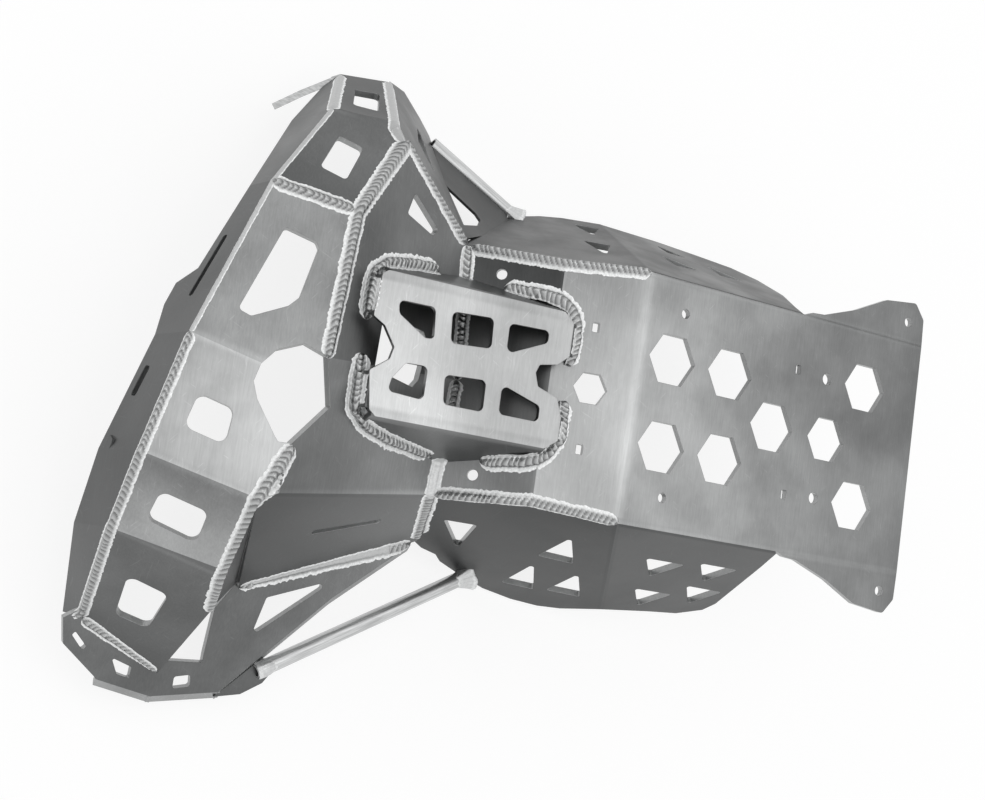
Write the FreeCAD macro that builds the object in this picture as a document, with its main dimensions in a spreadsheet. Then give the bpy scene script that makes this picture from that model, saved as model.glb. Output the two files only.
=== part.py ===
"""Engine guard for an off-road motorcycle: a folded skid plate with side wings, and a welded
cradle of cut-out sheet in front of it that guards the exhaust pipe.

Frame: X forward, Y to the left of the bike, Z up, millimetres. Z = 0 is the underside of the
floor of the skid plate, and the origin lies midway between the two rear bolt holes.
"""
import FreeCAD, Part
import math
import os

doc = FreeCAD.newDocument("engine_guard")

# Driving dimensions
SIZES = {
    # sheet and welds
    "sheet": 5.0,
    "bead": 3.7,
    "bead_small": 3.0,
    "bead_channel": 4.6,
    "bead_out": 0.3,
    "bead_lap": 1.0,
    "tuck": 5.0,
    "window_corner": 6.0,
    # floor of the skid plate
    "floor_front": 255.0,
    "floor_rear": 16.0,
    "floor_half": 92.5,
    "ear_half": 126.3,
    "ear_bolt": 109.3,
    "ear_hole": 4.1,
    "ear_length": 56.0,
    "ear_blend": 88.0,
    "hexagon": 20.8,
    "hexagon_front_x": 226.0,
    "hexagon_front_y": 32.4,
    "hexagon_second_x": 172.2,
    "hexagon_centre_x": 127.0,
    "hexagon_fourth_x": 72.2,
    "hexagon_fourth": 18.9,
    "hexagon_rear_x": 38.7,
    "hexagon_rear_y": 47.2,
    "frame_hole": 4.6,
    "frame_hole_x": 77.9,
    "frame_hole_y": 46.9,
    "front_hole": 3.6,
    "front_hole_x": 219.4,
    "front_hole_y": 68.6,
    "slot_x": 107.5,
    "slot_y": 48.8,
    "slot_length": 7.0,
    "slot_width": 5.0,
    # riser, the two sloped panels that run up from the floor
    "lower_length": 64.0,
    "lower_angle": 17.3,
    "upper_length": 73.0,
    "upper_angle": 36.2,
    "riser_waist": 87.5,
    "riser_top": 91.5,
    "seam_dip": 6.5,
    "riser_hexagon": 12.6,
    "riser_hexagon_along": 33.4,
    "riser_slot_along": 35.3,
    "riser_slot_y": 44.6,
    "riser_hole": 4.0,
    "riser_hole_along": 45.0,
    "riser_hole_y": 73.5,
    # side wings, the left one twisted a little more forward than the right one
    "wing_angle": 65.0,
    "wing_rear": 109.0,
    "wing_top_right": 149.0,
    "wing_fold_right": 85.0,
    "wing_top_left": 156.6,
    "wing_fold_left": 38.0,
    "triangle_corner": 2.0,
    # bump channel over the valley
    "channel_sheet": 4.0,
    "channel_start": 310.3,
    "channel_height": 5.5,
    "channel_angle": 3.4,
    "channel_length": 150.0,
    "channel_half": 49.3,
    "channel_splay": 20.0,
    "channel_depth": 60.0,
    "channel_end": 12.0,
    "seam_cap": 4.0,
    "channel_hole_corner": 4.0,
    # front wall, end plate lips, tubes and tab
    "wall_lean": 9.8,
    "lip": 8.0,
    "lip_lap": 1.5,
    "tube": 6.0,
    "tube_wall": 1.5,
    "tab_width": 16.0,
}

# Corners of the pipe cradle: forward of, left of and above the middle of the riser's top edge
CRADLE = {
    "wing_corner": (-27.0, -124.0, 65.0),
    "ridge_left": (103.0, 85.5, -39.0),
    "ridge_middle": (115.0, -36.5, -53.0),
    "ridge_fold": (131.5, -110.0, -49.5),
    "ridge_right": (144.0, -116.5, -46.0),
    "ridge_side": (147.5, -168.5, -13.5),
    "ridge_end": (141.0, -189.5, 14.0),
    "front_left": (162.5, 93.5, -26.5),
    "front_middle": (202.0, -17.5, -34.0),
    "front_right": (219.5, -97.0, -29.5),
    "front_side": (222.5, -147.0, -1.5),
    "front_end": (212.5, -209.0, 71.5),
    "end_corner": (148.5, -239.0, 84.5),
    "left_knee": (120.5, 160.5, -2.5),
    "left_knee_back": (76.0, 157.0, -16.0),
    "left_top": (95.0, 208.5, 61.5),
    "left_top_back": (54.5, 215.0, 62.0),
    "left_apex": (69.0, 147.5, -17.5),
    "belly_end": (108.0, -173.0, 68.5),
    "tube_right_front": (75.0, -235.0, 89.0),
    "tube_right_rear": (-88.0, -146.0, 98.0),
    "tube_left_front": (-3.0, 188.0, 96.0),
    "tube_left_rear": (-83.0, 150.0, 96.0),
    "tab_middle": (119.0, 192.0, 76.0),
    "tab_end": (135.0, 179.5, 86.5),
}

sheet = doc.addObject("Spreadsheet::Sheet", "sizes")
cells = dict(SIZES)
for title, place in CRADLE.items():
    for axis, value in zip("xyz", place):
        cells[title + "_" + axis] = value
for row, (alias, value) in enumerate(cells.items(), start=1):
    sheet.set("A%d" % row, alias)
    sheet.set("B%d" % row, str(value))
    sheet.setAlias("B%d" % row, alias)
doc.recompute()


def size(name):
    return float(sheet.get(name))


def vec(x, y, z=0.0):
    return FreeCAD.Vector(x, y, z)


# Places that several pieces share
LOWER = math.radians(size("lower_angle"))
UPPER = math.radians(size("upper_angle"))
WING = math.radians(size("wing_angle"))
BEND_1 = vec(size("floor_front"), 0, 0)
BEND_2 = BEND_1 + vec(math.cos(LOWER), 0, math.sin(LOWER)) * size("lower_length")
UP = vec(math.cos(UPPER), 0, math.sin(UPPER))
NOSE = BEND_2 + UP * size("upper_length")
corner = {name: NOSE + vec(*(size(name + "_" + axis) for axis in "xyz")) for name in CRADLE}
corner["seam_left"] = NOSE + vec(0, size("riser_top"), 0)
corner["seam_right"] = NOSE - vec(0, size("riser_top"), 0)
corner["seam_middle"] = NOSE - UP * size("seam_dip") - vec(0, size("riser_top") * 0.08, 0)


class Plane:
    """The outer face of one flat panel: origin at a, x towards b, y so that z points outward."""

    def __init__(self, a, b, c, outward=vec(0, 0, -1)):
        self.a = a
        self.u = (b - a).normalize()
        self.n = self.u.cross(c - a).normalize()
        if self.n.dot(outward) < 0:
            self.n = self.n * -1
        self.v = self.n.cross(self.u)

    def flat(self, point):
        """A point of space, dropped onto this panel."""
        return vec((point - self.a).dot(self.u), (point - self.a).dot(self.v))

    def lift(self, x, y, z=0.0):
        return self.a + self.u * x + self.v * y + self.n * z

    def placement(self):
        u, v, n, a = self.u, self.v, self.n, self.a
        return FreeCAD.Placement(FreeCAD.Matrix(u.x, v.x, n.x, a.x, u.y, v.y, n.y, a.y, u.z, v.z, n.z, a.z))


def fold(one, other, start, near):
    """The point nearest to near on the fold between two panels that both hold start."""
    along = one.n.cross(other.n).normalize()
    return start + along * (near - start).dot(along)


def rounded(points, radius):
    """Lines and arcs round a polygon whose corners have this radius, less where a side is short."""
    pts = [vec(*p[:2]) if isinstance(p, tuple) else p for p in points]
    count = len(pts)
    ends = []
    for i, p in enumerate(pts):
        before = pts[i - 1] - p
        after = pts[(i + 1) % count] - p
        room = min(before.Length, after.Length) * 0.45
        half = before.getAngle(after) / 2
        reach = min(radius / math.tan(half), room) if half < 1.52 else 0.0
        first = p + before.normalize() * reach
        last = p + after.normalize() * reach
        bend = reach * math.tan(half)
        middle = before + after
        if reach > 0.05 and middle.Length > 1e-6:
            deep = math.hypot(reach, bend) - bend
            ends.append((first, p + middle.normalize() * deep, last))
        else:
            ends.append((p, None, p))
    edges = []
    for i in range(count):
        start, mid, stop = ends[i]
        if mid is not None:
            edges.append(Part.Arc(start, mid, stop))
        edges.append(Part.LineSegment(stop, ends[(i + 1) % count][0]))
    return edges


def polygon(points):
    return rounded(points, 0.0)


def circle(x, y, radius):
    return [Part.Circle(vec(x, y), vec(0, 0, 1), radius)]


def hexagon(x, y, radius):
    """A hexagon with two corners on the line along x."""
    turns = [math.radians(60 * k) for k in range(6)]
    return polygon([vec(x + radius * math.cos(q), y + radius * math.sin(q)) for q in turns])


def slot(x, y):
    long, wide = size("slot_width") / 2, size("slot_length") / 2
    return rounded([(x - long, y - wide), (x + long, y - wide), (x + long, y + wide), (x - long, y + wide)], 0.8)


def new_body(label):
    body = doc.addObject("PartDesign::Body", label)
    body.Label = label
    return body


def add_panel(body, title, plane, outline, holes=(), thickness="sizes.sheet"):
    """One flat panel of a folded sheet: a sketch of its outer face, padded inward."""
    sketch = body.newObject("Sketcher::SketchObject", body.Label + "_" + title)
    flat = [f for f in body.Origin.OriginFeatures if f.Role == "XY_Plane"][0]
    sketch.AttachmentSupport = (flat, [""])
    sketch.MapMode = "FlatFace"
    sketch.AttachmentOffset = plane.placement()
    for loop in [outline] + list(holes):
        sketch.addGeometry(loop, False)
    pad = body.newObject("PartDesign::Pad", body.Label + "_" + title + "_pad")
    pad.Profile = sketch
    pad.setExpression("Length", thickness)
    pad.Reversed = True
    return pad


def trim(label, piece, *tools):
    """The piece less everything that it is welded against."""
    for k, tool in enumerate(tools):
        cut = doc.addObject("Part::Cut", "%s_trim_%d" % (label, k))
        cut.Base = piece
        cut.Tool = tool
        piece = cut
    piece.Label = label
    return piece


# Skid plate: floor with ears, riser and wings, one folded sheet
def skid_plate():
    body = new_body("skid_plate")
    front, half, ear = size("floor_front"), size("floor_half"), size("ear_half")
    rear = -size("floor_rear")
    blend, long = size("ear_blend"), size("ear_length")
    right = [(front, -half), (size("wing_rear") - 2, -half), (size("wing_rear") - 9, -half - 3),
             (blend, -half - 4), (long, -half - 15), (long * 0.45, -ear + 4), (rear + 10, -ear),
             (rear, -ear + 12), (rear - 0.8, -ear + 34)]
    left = [(x, -y) for x, y in reversed(right)]
    holes = [circle(0, side * size("ear_bolt"), size("ear_hole")) for side in (-1, 1)]
    for side in (-1, 1):
        for x in (size("hexagon_front_x"), size("hexagon_second_x")):
            holes.append(hexagon(x, side * size("hexagon_front_y"), size("hexagon")))
        holes.append(hexagon(size("hexagon_rear_x"), side * size("hexagon_rear_y"), size("hexagon")))
        holes.append(circle(size("frame_hole_x"), side * size("frame_hole_y"), size("frame_hole")))
        holes.append(circle(size("front_hole_x"), side * size("front_hole_y"), size("front_hole")))
        holes.append(slot(size("slot_x"), side * size("slot_y")))
    holes.append(hexagon(size("hexagon_centre_x"), 0, size("hexagon")))
    holes.append(hexagon(size("hexagon_fourth_x"), 0, size("hexagon_fourth")))
    floor = Plane(vec(0, 0), vec(1, 0), vec(0, 1))
    add_panel(body, "floor", floor, rounded([(x, -y) for x, y in right + left], 4.0), holes)

    waist, top = size("riser_waist"), size("riser_top")
    lower = Plane(BEND_1, BEND_2, BEND_1 + vec(0, 1, 0))
    run = size("lower_length")
    lower_holes = [hexagon(size("riser_hexagon_along"), 0, size("riser_hexagon"))]
    lower_holes += [slot(size("riser_slot_along"), side * size("riser_slot_y")) for side in (-1, 1)]
    add_panel(body, "lower_riser", lower,
              polygon([(0, -half), (run, -waist), (run, waist), (0, half)]), lower_holes)

    upper = Plane(BEND_2, NOSE, BEND_2 + vec(0, 1, 0))
    run = size("upper_length")
    upper_holes = [circle(size("riser_hole_along"), side * size("riser_hole_y"), size("riser_hole"))
                   for side in (-1, 1)]
    tuck = vec(size("tuck"), 0)
    edge = [upper.flat(corner["seam_" + name]) + tuck for name in ("right", "middle", "left")]
    edge.sort(key=lambda p: p.y)
    add_panel(body, "upper_riser", upper,
              polygon([(0, -waist), (run, -top)] + edge + [(run, top), (0, waist)]), upper_holes)
    add_wing(body, -1, RIGHT_WING)
    add_wing(body, 1, LEFT_WING)
    return body


# Each wing has a rear panel that hinges on the floor (along the hinge, up from it) and a front
# panel that is toed in to follow the riser (up along the fold, forward from it)
RIGHT_WING = {
    "side": "right",
    "rear": [(126, 140), (152, 136), (169, 122), (171, 107), (156, 30), (150, 4), (146, 0)],
    "rear_holes": [[(58, 46), (95, 47), (82, 76)], [(105, 40), (142, 41), (130, 70)],
                   [(86, 101), (123, 102), (110, 132)], [(123, 82), (160, 84), (148, 114)]],
    "front": [(72, 152), (88, 145), (98, 134), (111, 131), (135, 115), (157, 97), (173, 74), (181, 52),
              (181, 33)],
    "front_holes": [[(30, 126), (33, 101), (82, 117)], [(76, 55), (35, 31), (84, 27)],
                    [(139, 82), (93, 57), (146, 56)], [(144, 46), (103, 22), (150, 18)]],
}
LEFT_WING = {
    "side": "left",
    "rear": [(93, 151), (126, 139), (156, 125), (168, 100), (167, 59), (152, 20), (146, 0)],
    "rear_holes": [[(80, 133), (100, 108), (80, 109)], [(60, 88), (84, 63), (57, 58)],
                   [(113, 98), (134, 71), (109, 69)]],
    "front": [(34, 133), (78, 115), (124, 91), (153, 79), (169, 50), (171, 30)],
    "front_holes": [[(150, 26), (142, 5), (112, 17)], [(89, 32), (80, 11), (43, 23)]],
}


def wing_planes(side, wing):
    hinge = vec(size("floor_front"), side * size("floor_half"), 0)
    back = size("wing_fold_" + wing["side"])
    rise = size("wing_top_" + wing["side"])
    crest = hinge + vec(-back, side * rise * math.cos(WING), rise * math.sin(WING))
    seam = corner["seam_" + wing["side"]]
    rear = Plane(hinge, hinge - vec(1, 0, 0), crest, vec(0, side, -0.3))
    front = Plane(hinge, crest, seam, vec(0, side, -0.3))
    return rear, front, crest, seam


def add_wing(body, side, wing):
    rear, front, crest, seam = wing_planes(side, wing)
    radius = size("triangle_corner")
    flip = 1 if rear.flat(crest).y > 0 else -1
    outline = [(0, 0), tuple(rear.flat(crest))[:2]] + [(x, flip * y) for x, y in wing["rear"]]
    holes = [rounded([(x, flip * y) for x, y in hole], radius) for hole in wing["rear_holes"]]
    add_panel(body, wing["side"] + "_wing", rear, polygon(outline), holes)

    waist = front.flat(BEND_2 + vec(0, side * size("riser_waist"), 0))
    flip = 1 if front.flat(seam).y > 0 else -1
    tuck = vec(0, flip * size("tuck"))
    outline = [vec(0, 0), waist, front.flat(seam), front.flat(seam) + tuck]
    outline += [vec(x, flip * y) for x, y in wing["front"]]
    outline.append(front.flat(crest))
    holes = [rounded([(x, flip * y) for x, y in hole], radius) for hole in wing["front_holes"]]
    add_panel(body, wing["side"] + "_wing_front", front, polygon(outline), holes)


# Belly plate: the rear wall of the cradle, four panels with soft folds
def belly_planes():
    left = Plane(corner["seam_middle"], corner["seam_left"], corner["ridge_left"])
    middle = Plane(corner["seam_middle"], corner["seam_right"], corner["ridge_fold"])
    right = Plane(corner["seam_right"], corner["wing_corner"], corner["ridge_fold"])
    return left, middle, right


def belly_plate():
    body = new_body("belly_plate_sheet")
    left, middle, right = belly_planes()
    hole_rear = corner["seam_middle"] + (corner["ridge_middle"] - corner["seam_middle"]) * 0.96
    hole_rear = fold(left, middle, corner["seam_middle"], hole_rear)
    # the hole behind the channel spans the fold, so each panel holds one side of it
    front, rear = [fold(left, middle, corner["seam_middle"],
                        corner["seam_middle"] + (corner["ridge_middle"] - corner["seam_middle"]) * share)
                   for share in (0.63, 0.29)]
    flat = left.flat
    outline = [vec(0, 0), flat(corner["seam_left"]), flat(corner["left_apex"]), flat(corner["ridge_left"]),
               vec(-2, 128), flat(hole_rear), flat(front), vec(27.6, 79.3), vec(31.1, 61.2), vec(28, 38.1),
               vec(20, 33), flat(rear)]
    window = rounded([(123.4, 58.3), (102.9, 31.8), (97.6, 37.3), (106.9, 64.5)], 2.0)
    add_panel(body, "left", left, polygon(outline), [window])

    flat = middle.flat
    ridge_fold = fold(middle, right, corner["seam_right"], corner["ridge_fold"])
    outline = [vec(0, 0), flat(corner["seam_right"]), flat(ridge_fold), vec(77.2, -140),
               vec(46.2, -113.5), flat(hole_rear), flat(front), vec(13.7, -63.5), vec(15.6, -42.6),
               vec(9.4, -38), flat(rear)]
    add_panel(body, "middle", middle, polygon(outline))

    flat = right.flat
    outline = [vec(0, 0), flat(corner["wing_corner"]), flat(corner["belly_end"]), flat(corner["ridge_right"]),
               flat(ridge_fold)]
    long_slot = rounded([(1.5, -90.5), (20, -37), (15, -36), (-4, -89)], 2.0)
    add_panel(body, "right", right, polygon(outline), [long_slot])

    tongue = Plane(corner["ridge_right"], corner["belly_end"], corner["ridge_end"], vec(-1, 0, 0))
    flat = tongue.flat
    tuck = size("tuck")
    behind = vec(0, -tuck if flat(corner["ridge_end"]).y > 0 else tuck)
    outline = [vec(0, 0), behind, flat(corner["belly_end"]) + behind, flat(corner["belly_end"]),
               flat(corner["ridge_end"]), flat(corner["ridge_side"])]
    add_panel(body, "tongue", tongue, polygon(outline))
    return body


# Front band: the underside of the cradle, four panels across the bike
def band_planes():
    return [Plane(corner["front_left"], corner["front_middle"], corner["ridge_left"]),
            Plane(corner["front_middle"], corner["front_right"], corner["ridge_fold"]),
            Plane(corner["front_right"], corner["front_side"], corner["ridge_right"]),
            Plane(corner["front_side"], corner["front_end"], corner["ridge_side"])]


def front_band():
    body = new_body("front_band_sheet")
    left, middle, right, end = band_planes()
    hole_front = corner["front_middle"] + (corner["ridge_middle"] - corner["front_middle"]) * 0.54
    hole_front = fold(left, middle, corner["front_middle"], hole_front)
    fold_right = fold(middle, right, corner["front_right"], corner["ridge_right"])
    fold_side = fold(right, end, corner["front_side"], corner["ridge_side"])
    big, small = size("window_corner"), size("window_corner") / 2

    flat = left.flat
    outline = [vec(0, 0), flat(corner["front_middle"]), flat(hole_front), vec(101.7, 53.7), vec(89.1, 67.7),
               vec(89.7, 84), flat(corner["ridge_left"])]
    window = [(24.3, 21.9), (22.8, 44), (26, 47.5), (62.6, 51.3), (71.7, 47.3), (89.8, 29.2), (89.6, 19.8)]
    add_panel(body, "left", left, polygon(outline), [rounded(window, small)])

    flat = middle.flat
    outline = [vec(0, 0), flat(corner["front_right"]), flat(fold_right), vec(41.7, 86), vec(43.8, 77.9),
               vec(41.2, 74.5), vec(23.6, 55.4), vec(13.8, 48.9), flat(hole_front)]
    window = [(34.3, 20), (35.3, 44.5), (58.5, 47.7), (57.4, 19.3)]
    add_panel(body, "middle", middle, polygon(outline), [rounded(window, big)])

    flat = right.flat
    outline = [vec(0, 0), flat(corner["front_side"]), flat(fold_side), flat(fold_right)]
    window = [(21.4, 21.3), (24.5, 54.2), (48.2, 54.4), (43.6, 19.6)]
    add_panel(body, "right", right, polygon(outline), [rounded(window, big)])

    flat = end.flat
    outline = [vec(0, 0), flat(corner["front_end"]), flat(corner["end_corner"]), flat(corner["ridge_end"]),
               flat(fold_side)]
    window = [(39.9, 20.7), (46.8, 50.1), (87.0, 45.1), (82.9, 21.2)]
    add_panel(body, "end", end, polygon(outline), [rounded(window, big)])
    return body


# Band top plate: carries the band round to the left end
def band_top_plate():
    body = new_body("band_top_plate_sheet")
    knee = Plane(corner["front_left"], corner["left_knee"], corner["ridge_left"])
    top = Plane(corner["left_knee"], corner["left_top"], corner["left_knee_back"])
    knee_back = fold(knee, top, corner["left_knee"], corner["left_knee_back"])
    small = size("window_corner") / 2
    flat = knee.flat
    outline = [vec(0, 0), flat(corner["left_knee"]), flat(knee_back), flat(corner["left_apex"]),
               flat(corner["ridge_left"])]
    window = [(65.4, -15.6), (68.5, -34), (36, -38), (33, -18.7)]
    add_panel(body, "knee", knee, polygon(outline), [rounded(window, small)])
    flat = top.flat
    outline = [vec(0, 0), flat(corner["left_top"]), flat(corner["left_top_back"]), flat(knee_back)]
    window = [(57.9, -13.3), (64.0, -31.3), (23.1, -32.4), (21.0, -13.8)]
    add_panel(body, "top", top, polygon(outline), [rounded(window, small)])
    return body


# End plates: close the cradle at both ends and tie it to the skid plate
RIGHT_EDGE = [(-104.4, -47.5), (-69.5, -70.4), (-19.8, -81.3), (72.0, -29.8), (137.0, -2.5)]


def right_end_plane():
    return Plane(corner["belly_end"], corner["wing_corner"], corner["end_corner"])


def right_end_plate():
    body = new_body("right_end_plate_sheet")
    plane = right_end_plane()
    end = plane.flat(corner["front_end"])
    tip = plane.flat(corner["end_corner"])
    tuck = size("tuck")
    outline = [plane.flat(corner["wing_corner"]) + vec(0, tuck)] + list(reversed(RIGHT_EDGE)) + [
        (-124.0, -14.8), (-122.0, 4.0), (end.x + 2, end.y + 6), (tip.x + 6, tip.y + 4), (-29.7, -54.9),
        (-28.3, -49.2), (-17.1, -15.2), (0, 0), (0, tuck)]
    holes = [rounded([(-92.8, -33.8), (-80.0, -44.6), (-82.6, -52.8), (-90.6, -47.1)], 1.0),
             rounded([(-50.8, -60.2), (-38.9, -62.0), (-40.2, -71.0), (-53.0, -69.1)], 2.0),
             rounded([(21.8, -16.8), (75.7, -15.9), (7.7, -43.9)], 2.5),
             rounded([(-115.0, -8.0), (-109.0, -21.0), (-112.0, -23.0), (-117.5, -10.0)], 1.0)]
    add_panel(body, "face", plane, polygon(outline), holes)
    rise = vec(-0.1, -0.6, 0.79) * size("lip")
    for k, (a, b) in enumerate(zip(RIGHT_EDGE[:-1], RIGHT_EDGE[1:])):
        lap = (plane.lift(*b) - plane.lift(*a)).normalize() * size("lip_lap")
        start, stop = plane.lift(*a) - lap, plane.lift(*b) + lap
        strip = Plane(start, stop, start + rise, vec(0, -1, -0.6))
        add_panel(body, "lip_%d" % k, strip,
                  polygon([strip.flat(p) for p in (start, stop, stop + rise, start + rise)]))
    return body


def left_end_plate():
    body = new_body("left_end_plate_sheet")
    plane = Plane(corner["seam_left"], corner["left_apex"], corner["left_top_back"], vec(-1, 0, -1))
    flat = plane.flat
    outline = [vec(0, 0), flat(corner["left_apex"]), flat(corner["left_knee_back"]),
               flat(corner["left_top_back"]), vec(81, -150), vec(56, -150), vec(42.0, -143.6),
               vec(24.4, -85.3), vec(3.7, -36.3), vec(-6, -26)]
    window = rounded([(64.6, -113), (40, -52), (66, -64)], 3.0)
    add_panel(body, "face", plane, polygon(outline), [window])
    return body


# Front wall: the steep strip along the front edge of the cradle
WALL_HEIGHTS = {"left_top": 12.0, "left_knee": 54.0, "front_left": 30.0, "front_middle": 50.0,
                "front_right": 62.0, "front_side": 56.0, "front_end": 30.0}
WALL_SLOTS = {"front_left": [(40.8, 22), (89.0, 26), (89.0, 32), (40.8, 28)],
              "front_middle": [(26.4, 36), (48, 40), (48, 48), (26.4, 44)],
              "front_right": [(15, 39), (38, 41), (38, 49), (15, 47)]}


def front_wall():
    body = new_body("front_wall_sheet")
    lean = math.radians(size("wall_lean"))
    rise = vec(math.sin(lean), 0, math.cos(lean))
    names = list(WALL_HEIGHTS)
    for a, b in zip(names[:-1], names[1:]):
        start, stop = corner[a], corner[b]
        plane = Plane(start, stop, start + rise, vec(1, 0, 0))
        flip = -1 if plane.flat(start + rise).y < 0 else 1
        top_a, top_b = start + rise * WALL_HEIGHTS[a], stop + rise * WALL_HEIGHTS[b]
        outline = [plane.flat(p) for p in (start, stop, top_b, top_a)]
        if a == "front_left":
            outline[3:3] = [vec(93, flip * 62), vec(76, flip * 62), vec(66, flip * 40)]
        holes = [rounded([(x, flip * y) for x, y in WALL_SLOTS[a]], 2.5)] if a in WALL_SLOTS else []
        add_panel(body, a, plane, polygon(outline), holes)
    return body


# Bump channel: a splayed trough that bridges the valley between riser and belly
def channel_plane():
    angle = math.radians(size("channel_angle"))
    start = vec(size("channel_start"), 0, size("channel_height"))
    return Plane(start, start + vec(math.cos(angle), 0, math.sin(angle)), start + vec(0, 1, 0))


def bump_channel():
    body = new_body("bump_channel_sheet")
    plane = channel_plane()
    long, half = size("channel_length"), size("channel_half")
    outline = [(0, half - 7), (10, half), (long - 12, half), (long - 7, half - 4), (long - 3, 19.5),
               (long - 16, 9.6), (long - 18, 1.1), (long - 9, -12), (long, -17), (long - 2, -half + 3),
               (long - 6, -half), (8, -half), (0, -half + 7), (0, -18.3), (8.5, -10.9), (22.4, -8.2),
               (24.6, -2.1), (21.5, 7.2), (5, 12.5), (0, 26)]
    radius = size("channel_hole_corner")
    holes = [rounded(loop, radius) for loop in (
        [(133.6, -31.2), (106.5, -31.5), (104.5, -10.0), (111.1, -9.3), (132.1, -22.0)],
        [(93.9, -31.4), (62.3, -33.2), (61.2, -11.8), (91.9, -9.7)],
        [(49.8, -32.3), (18.4, -33.2), (18.6, -24.5), (49.4, -10.6)],
        [(121.8, 9.9), (105.8, 9.5), (105.7, 32.6), (132.1, 31.0), (130.6, 22.4)],
        [(92.7, 12.4), (61.4, 10.6), (60.9, 32.6), (90.9, 32.6)],
        [(49.0, 11.0), (17.8, 20.6), (17.6, 31.9), (48.7, 31.8)])]
    wall = "sizes.channel_sheet"
    add_panel(body, "top", plane, rounded(outline, 2.0), holes, wall)
    splay = math.radians(size("channel_splay"))
    deep = size("channel_depth")
    for side, name in ((-1, "left"), (1, "right")):
        near, far = plane.lift(9, side * half), plane.lift(long - 9, side * half)
        foot = plane.v * (side * math.sin(splay) * deep) - plane.n * (math.cos(splay) * deep)
        spread = plane.u * (math.sin(splay) * deep * 0.3)
        flange = Plane(near, far, near + foot, plane.v * side)
        add_panel(body, name + "_flange", flange,
                  polygon([flange.flat(p) for p in (near, far, far + foot + spread, near + foot - spread)]),
                  (), wall)
    step = size("channel_end")
    ends = (("rear_left", 0.5, -half + 7, -19, -1), ("rear_right", 0.5, 25, half - 7, -1),
            ("front_left", long - 1.5, -half + 4, -18, 1), ("front_right", long - 4, 20, half - 5, 1))
    for name, x, low, high, way in ends:
        near, far = plane.lift(x, low), plane.lift(x, high)
        drop = plane.u * (way * step) - plane.n * (step * (0.9 if way < 0 else 2.0))
        strip = Plane(near, far, near + drop, plane.u * way)
        add_panel(body, name + "_end", strip,
                  polygon([strip.flat(p) for p in (near, far, far + drop, near + drop)]), (), wall)
    return body


def valley():
    """The space behind the outer faces that the channel stands on: riser, seam and belly."""
    riser, seam, belly = new_body("riser_space"), new_body("seam_space"), new_body("belly_space")
    half = size("channel_half") * 1.8
    depth = "sizes.channel_depth * 2"
    lower = Plane(BEND_1, BEND_2, BEND_1 + vec(0, 1, 0))
    run = size("lower_length")
    add_panel(riser, "lower", lower, polygon([(0, -half), (run, -half), (run, half), (0, half)]), (), depth)
    upper = Plane(BEND_2, NOSE, BEND_2 + vec(0, 1, 0))
    top = size("riser_top")
    run = size("upper_length")
    add_panel(riser, "upper", upper,
              polygon([(0, -top), (run, -top), upper.flat(corner["seam_middle"]), (run, top), (0, top)]),
              (), depth)
    level = corner["seam_left"].z - size("seam_cap")
    cap = Plane(vec(0, 0, level), vec(1, 0, level), vec(0, 1, level))
    reach = (NOSE.x - 40, NOSE.x + 40)
    add_panel(seam, "cap", cap, polygon([(reach[0], -half), (reach[1], -half), (reach[1], half), (reach[0], half)]),
              (), depth)
    left, middle, right = belly_planes()
    ridge = fold(left, middle, corner["seam_middle"], corner["ridge_middle"])
    add_panel(belly, "left", left, polygon([left.flat(p) for p in (
        corner["seam_middle"], corner["seam_left"], corner["ridge_left"], ridge)]), (), depth)
    add_panel(belly, "middle", middle, polygon([middle.flat(p) for p in (
        corner["seam_middle"], corner["seam_right"], corner["ridge_fold"], ridge)]), (), depth)
    return riser, seam, belly


# Brace tubes and the tab at the top of the front wall
def tube(label, start, stop, *tools):
    outer = doc.addObject("Part::Cylinder", label + "_outer")
    outer.setExpression("Radius", "sizes.tube")
    bore = doc.addObject("Part::Cylinder", label + "_bore")
    bore.setExpression("Radius", "sizes.tube - sizes.tube_wall")
    for rod in (outer, bore):
        rod.Height = (stop - start).Length
        rod.Placement = FreeCAD.Placement(start, FreeCAD.Rotation(vec(0, 0, 1), stop - start))
    hollow = doc.addObject("Part::Cut", label + "_hollow")
    hollow.Base = outer
    hollow.Tool = bore
    return trim(label, hollow, *tools)


def mounting_tab():
    body = new_body("mounting_tab_sheet")
    base, middle, end = corner["left_top"], corner["tab_middle"], corner["tab_end"]
    width = vec(-0.33, 0.32, 0.89) * size("tab_width")
    for name, start, stop in (("root", base, middle), ("tip", middle, end)):
        plane = Plane(start, stop, start + width, vec(0, 1, -0.5))
        add_panel(body, name, plane, polygon([plane.flat(p) for p in (start, stop, stop + width, start + width)]))
    return body


# Weld beads: ten-sided rods along the seams, less the sheets that they join
def bead(label, points, radius_name, *tools):
    rods = []
    for k, (a, b) in enumerate(zip(points[:-1], points[1:])):
        rod = doc.addObject("Part::Prism", "%s_rod_%d" % (label, k))
        rod.Polygon = 10
        rod.setExpression("Circumradius", "sizes." + radius_name)
        rod.Height = (b - a).Length + size("bead_lap") * 2
        start = a - (b - a).normalize() * size("bead_lap")
        rod.Placement = FreeCAD.Placement(start, FreeCAD.Rotation(vec(0, 0, 1), b - a))
        rods.append(rod)
    if len(rods) == 1:
        return trim(label, rods[0], *tools)
    whole = doc.addObject("Part::MultiFuse", label + "_run")
    whole.Shapes = rods
    return trim(label, whole, *tools)


def seam(names, out, inset=(0.0, 0.0)):
    """The line through these corners, moved outward, and drawn in at both ends."""
    points = [corner[name] + out.normalize() * size("bead_out") for name in names]
    points[0] = points[0] + (points[1] - points[0]).normalize() * inset[0]
    points[-1] = points[-1] + (points[-2] - points[-1]).normalize() * inset[1]
    return points


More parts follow.
